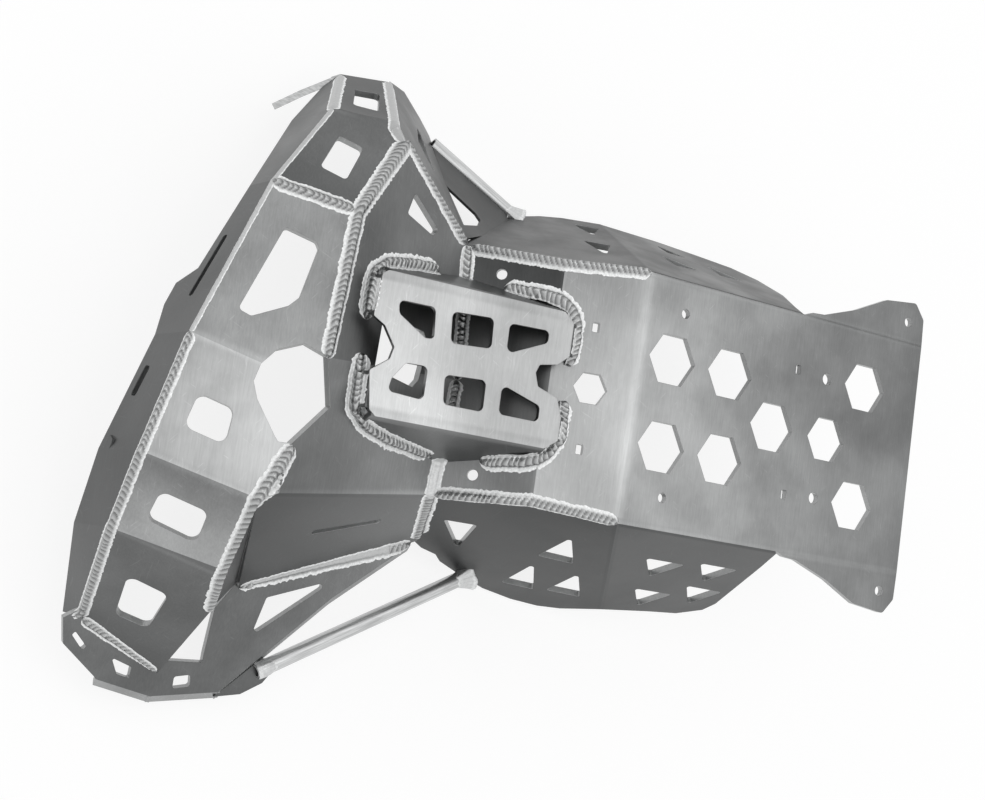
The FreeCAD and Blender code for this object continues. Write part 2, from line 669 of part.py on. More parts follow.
skid = skid_plate()
belly = trim("belly_plate", belly_plate(), skid)
band = trim("front_band", front_band(), belly)
top_plate = trim("band_top_plate", band_top_plate(), band, belly)
right_end = trim("right_end_plate", right_end_plate(), belly, band, skid)
left_end = trim("left_end_plate", left_end_plate(), belly, top_plate, skid)
wall = trim("front_wall", front_wall(), band, top_plate, right_end)
channel = trim("bump_channel", bump_channel(), *valley())
right_tube = tube("right_brace_tube", corner["tube_right_front"], corner["tube_right_rear"], right_end, skid)
left_tube = tube("left_brace_tube", corner["tube_left_front"], corner["tube_left_rear"], left_end, skid)
tab = trim("mounting_tab", mounting_tab(), wall, top_plate)
pieces = [skid, belly, band, top_plate, right_end, left_end, wall, channel, right_tube, left_tube, tab]

corner["upper_hole"] = band_planes()[0].lift(89.7, 86)
corner["lower_hole"] = band_planes()[1].lift(42.5, 88)
corner["waist_right"] = BEND_2 - vec(0, size("riser_waist"), 0)
corner["waist_left"] = BEND_2 + vec(0, size("riser_waist"), 0)
corner["hinge_right"] = BEND_1 - vec(0, size("floor_half"), 0)
corner["hinge_left"] = BEND_1 + vec(0, size("floor_half"), 0)
corner["weld_left"] = corner["seam_left"] - vec(0, 17, 0)
corner["weld_right"] = corner["seam_right"] + vec(0, 17, 0)
BELOW, RIGHT, LEFT, BACK = vec(0, 0, -1), vec(0, -1, -1), vec(0, 1, -1), vec(-1, 0, -1)
welds = [
    ("upper_band_weld", seam(["left_apex", "ridge_left", "upper_hole"], BELOW, (6, 0)), "bead",
     (band, top_plate, belly, left_end)),
    ("lower_band_weld", seam(["lower_hole", "ridge_right", "ridge_side", "ridge_end"], BACK, (2, 2)), "bead",
     (band, belly, right_end)),
    ("band_joint_weld", seam(["ridge_left", "front_left"], BELOW, (11, 6)), "bead_small", (band, top_plate)),
    ("front_wall_weld", seam(["front_middle", "front_right", "front_side", "front_end"],
                             vec(0.7, -0.3, -0.6), (4, 6)), "bead_small", (band, wall, right_end)),
    ("band_end_weld", seam(["front_end", "end_corner"], vec(0.2, -1, -0.6), (14, 5)), "bead_small",
     (band, right_end, wall)),
    ("right_end_weld", seam(["belly_end", "wing_corner"], RIGHT, (12, 10)), "bead", (belly, right_end, skid)),
    ("left_end_weld", seam(["seam_left", "left_apex"], LEFT, (12, 20)), "bead_small",
     (belly, left_end, skid)),
    ("left_belly_weld", seam(["weld_left", "seam_left"], BELOW, (0, 0)), "bead_small",
     (belly, skid, left_end)),
    ("right_belly_weld", seam(["weld_right", "seam_right", "wing_corner"], vec(-0.2, -0.4, -1), (0, 14)),
     "bead", (belly, skid)),
    ("right_wing_weld", seam(["seam_right", "waist_right", "hinge_right"], RIGHT, (16, 7)), "bead", (skid,)),
    ("left_wing_weld", seam(["seam_left", "waist_left", "hinge_left"], LEFT, (14, 7)), "bead", (skid,)),
]
doc.recompute()
for label, points, radius_name, tools in welds:
    pieces.append(bead(label, points, radius_name, *tools))

# Beads round the four corners of the channel: each runs along a flange and round its end
CHANNEL_BEADS = {
    "front_left_channel_weld": [(400, 64.5, 51), (424, 64.5, 41.5), (450, 57.5, 31.5), (463, 46, 26), (462, 28, 25.5)],
    "rear_left_channel_weld": [(345, 62.5, 39.5), (326, 62.5, 25.5), (306, 58.5, 15.2), (299, 50, 13), (297, 30, 12.5)],
    "front_right_channel_weld": [(388, -63, 54.5), (427, -59, 39), (449, -55, 30.5), (459, -48, 26), (460, -18, 23.5)],
    "rear_right_channel_weld": [(346, -62.5, 40.5), (324, -60, 23), (308, -52, 15.8), (301, -40, 13.8),
                                (300, -14, 13.5)],
}
for label, points in CHANNEL_BEADS.items():
    pieces.append(bead(label, [vec(*p) for p in points], "bead_channel", skid, belly, channel))

doc.recompute()
failed = [o.Name for o in doc.Objects if "Invalid" in o.State or "Error" in o.State]
if failed:
    raise RuntimeError("did not build: " + ", ".join(failed))
os.makedirs("parts", exist_ok=True)
for piece in pieces:
    shape = piece.Shape
    if shape.isNull() or not shape.isValid():
        raise RuntimeError(piece.Label + " has no sound shape")
    print(piece.Label, "solids", len(shape.Solids), "volume", round(shape.Volume))
    shape.exportStep("parts/%s.step" % piece.Label)
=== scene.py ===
"""Looks of the motorcycle engine guard: bare aluminium sheet, drawn tube and rippled weld beads.

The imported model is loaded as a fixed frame. Its sheets and tubes keep their CAD shapes and get
their finishes here, and each weld gets a modelled bead. Tables are in millimetres, in the frame
of the part's source: X forward, Y to the left of the bike, Z up, Z = 0 at the floor's underside.
"""
import math

import bpy
from mathutils import Matrix, Vector, noise
from mathutils.bvhtree import BVHTree


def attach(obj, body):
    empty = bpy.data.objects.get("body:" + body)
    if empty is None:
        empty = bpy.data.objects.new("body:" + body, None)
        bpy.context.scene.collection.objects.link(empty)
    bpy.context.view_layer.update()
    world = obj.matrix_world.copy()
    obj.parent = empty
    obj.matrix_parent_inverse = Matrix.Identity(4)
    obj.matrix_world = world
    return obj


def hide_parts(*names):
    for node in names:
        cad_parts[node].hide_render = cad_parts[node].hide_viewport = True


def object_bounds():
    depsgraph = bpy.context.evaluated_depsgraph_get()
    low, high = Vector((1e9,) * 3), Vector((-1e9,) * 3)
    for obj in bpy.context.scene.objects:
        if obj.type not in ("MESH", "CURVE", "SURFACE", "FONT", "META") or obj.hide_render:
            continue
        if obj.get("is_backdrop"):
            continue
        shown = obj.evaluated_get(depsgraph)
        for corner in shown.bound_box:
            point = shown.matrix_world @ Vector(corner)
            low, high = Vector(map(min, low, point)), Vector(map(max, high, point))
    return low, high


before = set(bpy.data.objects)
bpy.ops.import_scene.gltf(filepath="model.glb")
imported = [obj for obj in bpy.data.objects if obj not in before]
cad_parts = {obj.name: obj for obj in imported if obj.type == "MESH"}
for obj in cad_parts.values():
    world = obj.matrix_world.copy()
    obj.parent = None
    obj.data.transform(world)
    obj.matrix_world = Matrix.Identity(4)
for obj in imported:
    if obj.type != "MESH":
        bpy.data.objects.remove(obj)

bl_info = {
    "name": "Engine guard looks",
    "version": (1, 0, 0),
    "blender": (4, 5, 0),
    "location": "3D View > Sidebar > Engine guard",
    "description": "Finishes the sheets and tubes of a welded engine guard and lays its weld beads",
    "category": "Object",
}

MM = 0.001

# Corners of the folded sheets, as the part's source places them
CORNERS = {
    "floor_rear": (-16, 0, 0),
    "floor_front": (255, 0, 0),
    "floor_side": (120, 60, 0),
    "hinge_left": (255, 92.5, 0),
    "hinge_right": (255, -92.5, 0),
    "hinge_back_left": (109, 92.5, 0),
    "hinge_back_right": (109, -92.5, 0),
    "bend": (316.1, 0, 19),
    "waist_left": (316.1, 87.5, 19),
    "waist_right": (316.1, -87.5, 19),
    "seam_left": (375, 91.5, 62.1),
    "seam_middle": (369.8, -7.3, 58.3),
    "seam_right": (375, -91.5, 62.1),
    "crest_left": (217, 158.7, 141.9),
    "crest_right": (170, -155.5, 135),
    "wing_corner": (348, -124, 127.1),
    "ridge_left": (478, 85.5, 23.1),
    "ridge_middle": (490, -36.5, 9.1),
    "ridge_fold": (506.5, -110, 12.6),
    "ridge_right": (519, -116.5, 16.1),
    "ridge_side": (522.5, -168.5, 48.6),
    "ridge_end": (516, -189.5, 76.1),
    "front_left": (537.5, 93.5, 35.6),
    "front_middle": (577, -17.5, 28.1),
    "front_right": (594.5, -97, 32.6),
    "front_side": (597.5, -147, 60.6),
    "front_end": (587.5, -209, 133.6),
    "end_corner": (523.5, -239, 146.6),
    "left_knee": (495.5, 160.5, 59.6),
    "left_knee_back": (451, 157, 46.1),
    "left_top": (470, 208.5, 123.6),
    "left_top_back": (429.5, 215, 124.1),
    "left_apex": (444, 147.5, 44.6),
    "belly_end": (483, -173, 130.6),
    "upper_hole": (488, -17.8, 11),
    "lower_hole": (502.4, -78.4, 11.5),
    "channel_left_rear": (319, 49.3, 6),
    "channel_left_front": (451, 49.3, 13.9),
    "channel_right_rear": (319, -49.3, 6),
    "channel_right_front": (451, -49.3, 13.9),
}


def place(name):
    """A named corner, in millimetres."""
    return Vector(CORNERS[name])


def linear(colour):
    """The linear red, green, blue and alpha of an sRGB hex colour."""
    values = [int(colour[k:k + 2], 16) / 255 for k in (1, 3, 5)]
    return tuple(v / 12.92 if v <= 0.04045 else ((v + 0.055) / 1.055) ** 2.4 for v in values) + (1.0,)


# Finishes
class GuardFinish(bpy.types.PropertyGroup):
    """Colours, roughness and wear of the aluminium"""

    cut_edge: bpy.props.FloatVectorProperty(
        name="Cut edges", description="Sawn and filed edges, and the side towards the engine",
        subtype="COLOR", size=4, default=linear("#A4A5A5"), min=0.0, max=1.0)
    tube: bpy.props.FloatVectorProperty(
        name="Drawn tube", description="Brace tubes and the tab",
        subtype="COLOR", size=4, default=linear("#C8C9C9"), min=0.0, max=1.0)
    bead: bpy.props.FloatVectorProperty(
        name="Weld bead", description="The ripples in the middle of a bead",
        subtype="COLOR", size=4, default=linear("#B2B3B3"), min=0.0, max=1.0)
    bead_border: bpy.props.FloatVectorProperty(
        name="Bead border", description="The frosted band that the arc cleans beside a bead",
        subtype="COLOR", size=4, default=linear("#F2F3F3"), min=0.0, max=1.0)
    roughness: bpy.props.FloatProperty(
        name="Sheet roughness", description="Roughness of rolled sheet", default=0.36, min=0.05, max=1.0)
    scratch_length: bpy.props.FloatProperty(
        name="Scratch length", description="Length of the handling scratches",
        default=13 * MM, min=1 * MM, max=100 * MM, unit="LENGTH")
    grain: bpy.props.FloatProperty(
        name="Rolling grain",
        description="Width of one line of the rolled grain, drawn wider than real to show",
        default=1.1 * MM, min=0.2 * MM, max=5 * MM, unit="LENGTH")


class GuardBeads(bpy.types.PropertyGroup):
    """Sizes of the weld beads"""

    half_width: bpy.props.FloatProperty(
        name="Half width", description="Half the width of a large bead with its borders",
        default=6.6 * MM, min=2 * MM, max=12 * MM, unit="LENGTH")
    crown: bpy.props.FloatProperty(
        name="Crown", description="Height of a large bead over its seam",
        default=2.4 * MM, min=0.5 * MM, max=6 * MM, unit="LENGTH")
    pitch: bpy.props.FloatProperty(
        name="Ripple pitch", description="Distance from one ripple to the next",
        default=4.1 * MM, min=1 * MM, max=8 * MM, unit="LENGTH")
    ripple: bpy.props.FloatProperty(
        name="Ripple height", description="Height of one ripple",
        default=0.95 * MM, min=0.1 * MM, max=2 * MM, unit="LENGTH")
    step: bpy.props.FloatProperty(
        name="Mesh step", description="Distance between the rows of a bead's mesh",
        default=0.42 * MM, min=0.2 * MM, max=3 * MM, unit="LENGTH")


def add_node(tree, kind, settings=None, inputs=None):
    """Adds a node, sets its properties, and sets or links its inputs."""
    made = tree.nodes.new(kind)
    for key, value in (settings or {}).items():
        setattr(made, key, value)
    for key, value in (inputs or {}).items():
        if isinstance(value, bpy.types.NodeSocket):
            tree.links.new(value, made.inputs[key])
        else:
            made.inputs[key].default_value = value
    return made


def new_material(name):
    made = bpy.data.materials.new(name)
    made.use_nodes = True
    made.node_tree.nodes.clear()
    return made


def panel_normal(a, b, c, outward):
    """The unit normal of the plane through three places, on the outward side."""
    n = (b - a).cross(c - a).normalized()
    return n if n.dot(outward) > 0 else -n


def mix_colour(tree, factor, one, two):
    mixed = add_node(tree, "ShaderNodeMix", {"data_type": "RGBA"}, {0: factor, 6: one, 7: two})
    return mixed.outputs[2]


def math_node(tree, operation, a, b=0.0, clamp=False):
    made = add_node(tree, "ShaderNodeMath", {"operation": operation, "use_clamp": clamp}, {0: a, 1: b})
    return made.outputs[0]


def span(tree, value, low, high, to_low=0.0, to_high=1.0):
    """The value mapped smoothly from one range to another."""
    made = add_node(tree, "ShaderNodeMapRange", {"interpolation_type": "SMOOTHSTEP"},
                    {0: value, 1: low, 2: high, 3: to_low, 4: to_high})
    return made.outputs[0]


def vector_math(tree, operation, a, b=(0.0, 0.0, 0.0)):
    """The outputs of a vector math node: a vector at 0, and a length or a product at "Value"."""
    return add_node(tree, "ShaderNodeVectorMath", {"operation": operation}, {0: a, 1: b}).outputs


def scale_colour(tree, colour, factor):
    made = add_node(tree, "ShaderNodeVectorMath", {"operation": "SCALE"}, {0: colour, "Scale": factor})
    return made.outputs[0]


def cloud(tree, coords, size, detail, roughness=0.5):
    """Random patches that are about as wide as the size, in metres."""
    made = add_node(tree, "ShaderNodeTexNoise", {},
                    {"Vector": coords, "Scale": 1 / size, "Detail": detail, "Roughness": roughness})
    return made.outputs[0]


def end_material(tree, colour, metallic, roughness, normal):
    shader = add_node(tree, "ShaderNodeBsdfPrincipled", {},
                      {"Base Color": colour, "Metallic": metallic, "Roughness": roughness,
                       "Normal": normal})
    add_node(tree, "ShaderNodeOutputMaterial", {}, {"Surface": shader.outputs[0]})


# Flat panels of each sheet: three corners, the outward side, and the tones at the first and the second
# corner. The tones are painted light and shade on rolled aluminium: lighter or darker as soft light falls
# on each panel
DOWN, LEFTWARD, RIGHTWARD = (0, 0, -1), (0, 1, -0.3), (0, -1, -0.3)
PANELS = {
    "skid_plate": [
        ("floor_rear", "floor_front", "floor_side", DOWN, "#828383", "#A2A3A3"),
        ("waist_left", "hinge_right", "hinge_left", DOWN, "#9C9D9D", "#AAABAB"),
        ("waist_left", "seam_right", "seam_left", DOWN, "#4A4B4B", "#808181"),
        ("hinge_back_left", "crest_left", "hinge_left", LEFTWARD, "#444545", "#4E4F4F"),
        ("hinge_left", "crest_left", "seam_left", LEFTWARD, "#464747", "#424343"),
        ("hinge_back_right", "crest_right", "hinge_right", RIGHTWARD, "#545555", "#4C4D4D"),
        ("hinge_right", "crest_right", "seam_right", RIGHTWARD, "#424343", "#484949"),
    ],
    "belly_plate": [
        ("seam_left", "ridge_left", "seam_middle", DOWN, "#7A7B7B", "#6A6B6B"),
        ("seam_middle", "ridge_fold", "seam_right", DOWN, "#949595", "#6A6B6B"),
        ("wing_corner", "ridge_fold", "seam_right", DOWN, "#6E6F6F", "#505151"),
        ("belly_end", "ridge_side", "ridge_end", (-1, 0, 0), "#6E6F6F", "#6E6F6F"),
    ],
    "front_band": [
        ("front_left", "front_middle", "ridge_left", DOWN, "#8E8F8F", "#979898"),
        ("front_middle", "front_right", "ridge_fold", DOWN, "#ACADAD", "#BCBDBD"),
        ("front_right", "front_side", "ridge_right", DOWN, "#868787", "#B0B1B1"),
        ("front_side", "front_end", "ridge_side", DOWN, "#767777", "#626363"),
    ],
    "band_top_plate": [
        ("front_left", "left_knee", "ridge_left", DOWN, "#5A5B5B", "#6C6D6D"),
        ("left_knee", "left_top", "left_knee_back", DOWN, "#505151", "#5C5D5D"),
    ],
    "right_end_plate": [
        ("belly_end", "wing_corner", "end_corner", RIGHTWARD, "#6E6F6F", "#828383"),
    ],
    "left_end_plate": [
        ("seam_left", "left_apex", "left_top_back", (-1, 0, -1), "#404141", "#525353"),
    ],
    "bump_channel": [
        ("channel_left_rear", "channel_left_front", "channel_right_front", DOWN, "#B8B9B9", "#BEBFBF"),
    ],
}

# Folds of each sheet: two corners on the fold, the half width of the bend, and the way the bend faces
FOLDS = {
    "skid_plate": [("hinge_left", "hinge_right", 9.0, (0.15, 0, -1)),
                   ("waist_left", "waist_right", 4.0, (0.45, 0, -1)),
                   ("hinge_left", "hinge_back_left", 5.0, (0, 0.65, -0.8)),
                   ("hinge_right", "hinge_back_right", 5.0, (0, -0.65, -0.8)),
                   ("hinge_left", "crest_left", 3.0, (0.1, 0.8, -0.4)),
                   ("hinge_right", "crest_right", 3.0, (0.1, -0.8, -0.4))],
    "belly_plate": [("seam_middle", "ridge_middle", 9.0, (-0.36, 0, -0.93)),
                    ("seam_right", "ridge_fold", 5.0, (-0.36, -0.5, -0.8))],
    "front_band": [("front_middle", "ridge_middle", 6.0, (0.2, 0.06, -0.97)),
                   ("front_right", "ridge_right", 5.0, (0.2, -0.3, -0.9)),
                   ("front_side", "ridge_side", 4.0, (0.2, -0.8, -0.6))],
    "band_top_plate": [("left_knee", "left_knee_back", 4.0, (0.2, 0.6, -0.8))],
    "bump_channel": [("channel_left_rear", "channel_left_front", 8.0, (0.06, 0.55, -0.83)),
                     ("channel_right_rear", "channel_right_front", 8.0, (0.06, -0.55, -0.83))],
}


# Painted shade: darker tones for the sheets that show no cut edge's colour outside the panels above, where
# less light falls on them
PAINTED_SHADE_TONES = {
    "front_wall": "#5E5F5F",
    "bump_channel": "#707171",
    "left_tube_gusset": "#404141",
    "right_tube_foot": "#636464",
}

# Cosines: a face within 3 degrees of a panel is part of it, and one within 53 degrees of the way a
# bend faces is on its outer side
IN_PANEL = 0.9985
OUTER_SIDE = 0.6

# Wear of the sheets: widths in millimetres, the turn of the rolled grain and of the scratches in
# degrees, and the painted highlight: how much lighter the colour is painted on a bend
SMUDGE, BROAD_SMUDGE = 60, 150
SCRATCH_WIDTH = 0.9
EDGE_ROUNDING = 0.9
GRAIN_TURN = 4
SCRATCH_TURNS = (28, -52, 80)
SCRATCH_OFFSETS = (0.0, 3.7, 1.9)
PAINTED_BEND_HIGHLIGHT = 1.22

# The darkest and lightest shade that patches run between, the painted shade and painted highlight of a
# weld's ripples, how light and how deep scratches are, and how metallic and rough the surfaces are
SMUDGE_SHADES, BROAD_SHADES = (0.84, 1.13), (0.84, 1.14)
GRAIN_SHADES, TUBE_SHADES, GRIT_SHADES = (0.93, 1.07), (0.8, 1.15), (0.8, 1.1)
PAINTED_RIPPLE_SHADES = (0.36, 1.2)
SCRATCH_LIGHT, SCRATCH_DEPTH = 0.2, 0.8
SHEET_METALLIC, WELD_METALLIC = 0.9, 0.88
TUBE_ROUGHNESS = 0.3
WELD_ROUGHNESS = (0.24, 0.62)


def painted_panel_tones(tree, name, coords, flat, finish):
    """The cut edge's colour, or the sheet's painted shade, then each panel's painted light and shade along
    its length.
    """
    # Painted shade: some sheets get a darker tone outside their panels in place of the cut edge's colour
    colour = linear(PAINTED_SHADE_TONES[name]) if name in PAINTED_SHADE_TONES else tuple(finish.cut_edge)
    for a, b, c, outward, start, stop in PANELS.get(name, []):
        normal = panel_normal(place(a), place(b), place(c), Vector(outward))
        facing = vector_math(tree, "DOT_PRODUCT", flat, normal)["Value"]
        mask = math_node(tree, "GREATER_THAN", facing, IN_PANEL)
        run = place(b) - place(a)
        offset = vector_math(tree, "SUBTRACT", coords, place(a) * MM)[0]
        along = vector_math(tree, "DOT_PRODUCT", offset, run / (run.length_squared * MM))["Value"]
        # Painted light and shade: the panel's tone runs from its first corner's tone to its second's
        tone = mix_colour(tree, span(tree, along, 0.0, 1.0), linear(start), linear(stop))
        colour = mix_colour(tree, mask, colour, tone)
    return colour[:3] if isinstance(colour, tuple) else colour


def scratch_marks(tree, coords, finish):
    """Handling scratches in three directions: bright hairlines about 0.4 mm wide."""
    scratches = 0.0
    for turn, offset in zip(SCRATCH_TURNS, SCRATCH_OFFSETS):
        turned = add_node(tree, "ShaderNodeMapping", {"vector_type": "TEXTURE"},
                          {"Vector": coords, "Location": (offset, offset, 0.0),
                           "Rotation": (0.0, 0.0, math.radians(turn)),
                           "Scale": (finish.scratch_length, SCRATCH_WIDTH * MM, 30 * MM)})
        hair = cloud(tree, turned.outputs[0], 1.0, 1.0)
        scratches = math_node(tree, "ADD", scratches, span(tree, hair, 0.71, 0.78), clamp=True)
    return scratches


def bends(tree, name, coords, flat, light):
    """The light, with a painted highlight raised on each bend, and the normal, which turns smoothly from
    panel to panel there.
    """
    normal = add_node(tree, "ShaderNodeBevel", {"samples": 4}, {"Radius": EDGE_ROUNDING * MM}).outputs[0]
    for a, b, half, outward in FOLDS.get(name, []):
        middle = Vector(outward).normalized()
        axis = (place(b) - place(a)).normalized()
        offset = vector_math(tree, "SUBTRACT", coords, place(a) * MM)[0]
        away = vector_math(tree, "LENGTH", vector_math(tree, "CROSS_PRODUCT", offset, axis)[0])["Value"]
        share = math_node(tree, "DIVIDE", away, half * MM)
        near = math_node(tree, "SUBTRACT", 1.0, share, clamp=True)
        facing = vector_math(tree, "DOT_PRODUCT", flat, middle)["Value"]
        factor = math_node(tree, "MULTIPLY", near, math_node(tree, "GREATER_THAN", facing, OUTER_SIDE))
        # Painted highlight: the colour is made lighter on the outer side of the bend
        light = math_node(tree, "MULTIPLY", light, span(tree, factor, 0.2, 1.0, 1.0, PAINTED_BEND_HIGHLIGHT))
        turned = add_node(tree, "ShaderNodeMix", {"data_type": "VECTOR"}, {0: factor, 4: normal, 5: middle})
        normal = vector_math(tree, "NORMALIZE", turned.outputs[1])[0]
    return light, normal


def bare_sheet(name, finish):
    """Rolled aluminium sheet: metallic, its grain in fine lines, with smudges and handling scratches.

    The eye sees a soft satin sheen; the tone that changes from one folded panel to the next, and a
    highlight on each bend, are painted light and shade.
    """
    material = new_material("rolled_aluminium_" + name)
    tree = material.node_tree
    coords = add_node(tree, "ShaderNodeTexCoord").outputs["Object"]
    flat = add_node(tree, "ShaderNodeNewGeometry").outputs["True Normal"]
    # Painted light and shade: a tone for each panel, and painted shade on the rest of some sheets
    colour = painted_panel_tones(tree, name, coords, flat, finish)

    # Smudges of two sizes, and rolled grain in lines across the bike
    smudge = cloud(tree, coords, SMUDGE * MM, 4.0, 0.6)
    broad = cloud(tree, coords, BROAD_SMUDGE * MM, 2.0)
    shade = math_node(tree, "MULTIPLY", span(tree, smudge, 0.3, 0.7, *SMUDGE_SHADES),
                      span(tree, broad, 0.35, 0.65, *BROAD_SHADES))
    lines = add_node(tree, "ShaderNodeMapping", {},
                     {"Vector": coords, "Rotation": (0.0, 0.0, math.radians(GRAIN_TURN)),
                      "Scale": (1.0, 0.06, 1.0)})
    grain = cloud(tree, lines.outputs[0], finish.grain, 3.0, 0.7)
    light = math_node(tree, "MULTIPLY", shade, span(tree, grain, 0.25, 0.75, *GRAIN_SHADES))

    scratches = scratch_marks(tree, coords, finish)
    light = math_node(tree, "ADD", light, math_node(tree, "MULTIPLY", scratches, SCRATCH_LIGHT))
    # A painted highlight along each bend, and the normal turned round it
    light, normal = bends(tree, name, coords, flat, light)
    relief = math_node(tree, "ADD", grain, math_node(tree, "MULTIPLY", scratches, -SCRATCH_DEPTH))
    bump = add_node(tree, "ShaderNodeBump", {},
                    {"Strength": 0.25, "Distance": 0.06 * MM, "Height": relief, "Normal": normal})
    rough = span(tree, smudge, 0.3, 0.7, finish.roughness - 0.05, finish.roughness + 0.09)
    end_material(tree, scale_colour(tree, colour, light), SHEET_METALLIC, rough, bump.outputs[0])
    return material


def drawn_tube(name, lie, finish):
    """Drawn aluminium tube: brighter than the sheet, with fine lines along its length.

    The lie is the angle of the tube's length from the bike's length, in degrees.
    """
    material = new_material("drawn_aluminium_" + name)
    tree = material.node_tree
    coords = add_node(tree, "ShaderNodeTexCoord").outputs["Object"]
    streaks = add_node(tree, "ShaderNodeMapping", {"vector_type": "TEXTURE"},
                       {"Vector": coords, "Scale": (25.0, 1.0, 1.0),
                        "Rotation": (0.0, 0.0, math.radians(lie))})
    grain = cloud(tree, streaks.outputs[0], 1.4 * MM, 3.0)
    colour = scale_colour(tree, tuple(finish.tube)[:3], span(tree, grain, 0.3, 0.7, *TUBE_SHADES))
    bump = add_node(tree, "ShaderNodeBump", {}, {"Strength": 0.3, "Distance": 0.08 * MM, "Height": grain})
    end_material(tree, colour, SHEET_METALLIC, TUBE_ROUGHNESS, bump.outputs[0])
    return material


def weld_metal(finish):
    """Weld metal as laid by hand: shiny ripples between two frosted, sandy borders.

    The mesh's colour "bead" says in red how frosted it is, and in green how high up a ripple, which the
    colour shows as painted shade in the valleys and a painted highlight on the crests.
    """
    material = new_material("rippled_aluminium_weld")
    tree = material.node_tree
    coords = add_node(tree, "ShaderNodeTexCoord").outputs["Object"]
    marks = add_node(tree, "ShaderNodeAttribute", {"attribute_name": "bead"}).outputs["Color"]
    split = add_node(tree, "ShaderNodeSeparateColor", {}, {"Color": marks}).outputs
    sand = cloud(tree, coords, 1.6 * MM, 5.0, 0.75)
    grit = span(tree, sand, 0.3, 0.7, *GRIT_SHADES)
    # Painted shade in the ripples' valleys and a painted highlight on their crests
    painted_ripple_shade = span(tree, split["Green"], 0.0, 1.0, *PAINTED_RIPPLE_SHADES)
    centre = scale_colour(tree, tuple(finish.bead)[:3], painted_ripple_shade)
    border = scale_colour(tree, tuple(finish.bead_border)[:3], grit)
    colour = mix_colour(tree, split["Red"], centre, border)
    rough = span(tree, split["Red"], 0.0, 1.0, *WELD_ROUGHNESS)
    bump = add_node(tree, "ShaderNodeBump", {}, {"Strength": 0.5, "Distance": 0.15 * MM, "Height": sand})
    end_material(tree, colour, WELD_METALLIC, rough, bump.outputs[0])
    return material


def finish_node(node_name, material):
    """Puts the material in each slot of a CAD node's object."""
    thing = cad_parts[node_name]
    if not thing.material_slots:
        thing.data.materials.append(material)
    for slot in thing.material_slots:
        slot.link = "OBJECT"
        slot.material = material


# Weld beads. Each run holds its size against the large bead, its corners, how far it is drawn in at
# both ends, and for each stretch one point on either sheet and the way the bead faces
BEADS = {
    "upper_band_weld": (1.05, ["left_apex", "ridge_left", "upper_hole"], (0, 0), [
        ("seam_left", "left_knee", (0, 0, -1)), ("seam_left", "front_left", (0, 0, -1))]),
    "lower_band_weld": (1.0, ["lower_hole", "ridge_right", "ridge_side", "ridge_end"], (0, -4), [
        ("seam_right", "front_right", (-0.1, 0, -1)), ("belly_end", "front_side", (-0.2, -0.6, -0.8)),
        ("belly_end", "front_end", (-0.2, -0.8, -0.5))]),
    "band_joint_weld": (0.95, ["ridge_left", "front_left"], (4, 0), [
        ("front_middle", "left_knee", (0.2, 0.2, -1))]),
    "front_wall_weld": (0.8, ["front_middle", "front_right", "front_side", "front_end"], (0, 0), [
        ("ridge_middle", (590, -20, 90), (0.5, -0.2, -0.9)),
        ("ridge_right", (605, -97, 90), (0.5, -0.3, -0.8)),
        ("ridge_side", (610, -160, 120), (0.5, -0.5, -0.7))]),
    "band_end_weld": (0.75, ["front_end", "end_corner"], (2, 2), [
        ("ridge_end", (545, -262, 150), (0.1, -0.7, -0.7))]),
    "right_end_weld": (1.25, ["belly_end", "wing_corner"], (0, 6), [
        ("ridge_fold", "end_corner", (-0.19, -0.54, -0.74))]),
    "left_end_weld": (1.05, ["seam_left", "left_apex"], (2, 0), [
        ("ridge_left", "left_top_back", (-0.5, 0.3, -0.75))]),
    "left_belly_weld": (1.0, ["seam_middle", "seam_left"], (0, 0), [
        ("bend", "ridge_left", (0, 0, -1))]),
    "right_belly_weld": (1.0, ["seam_middle", "seam_right", "wing_corner"], (0, 6), [
        ("bend", "ridge_fold", (0, 0, -1)), ("waist_right", "ridge_fold", (-0.1, -0.6, -0.8))]),
    "right_wing_weld": (1.05, ["seam_right", "waist_right", "hinge_right"], (3, 0), [
        ("bend", "crest_right", (0.2, -0.7, -0.8)), ("floor_front", "crest_right", (0.1, -0.7, -0.8))]),
    "left_wing_weld": (1.05, ["seam_left", "waist_left", "hinge_left"], (3, 0), [
        ("bend", "crest_left", (0.2, 0.7, -0.8)), ("floor_front", "crest_left", (0.1, 0.7, -0.8))]),
}

# Beads that only the scene has: along the front wall and the top plate's rear edge
FINE_BEADS = {
    "wall_bead_left": (0.36, ["left_knee", "front_left", "front_middle"], (0, 0), [
        ("left_knee_back", (520, 160, 110), (0.5, 0.5, -0.7)),
        ("ridge_left", (560, 60, 90), (0.5, 0.1, -0.9))]),
    "knee_wall_bead": (0.85, ["left_top", "left_knee"], (2, 0), [
        ("left_knee_back", (480, 214, 165), (0.4, 0.6, -0.6))]),
    "top_plate_end_bead": (0.95, ["left_top_back", "left_knee_back", "left_apex"], (2, 0), [
        ("left_top", "seam_left", (-0.4, 0.5, -0.75)), ("left_knee", "seam_left", (-0.4, 0.4, -0.8))]),
}

# Where a bead was ground or melted smooth: from and to along it, and how frosted it is there
SMOOTH = {
    "wall_bead_left": (0, 400, 0.3),
    "knee_wall_bead": (0, 400, 0.2),
    "top_plate_end_bead": (0, 400, 0.2),
    "right_belly_weld": (50, 86, 0.6),
    "right_end_weld": (10, 120, 0.35),
}

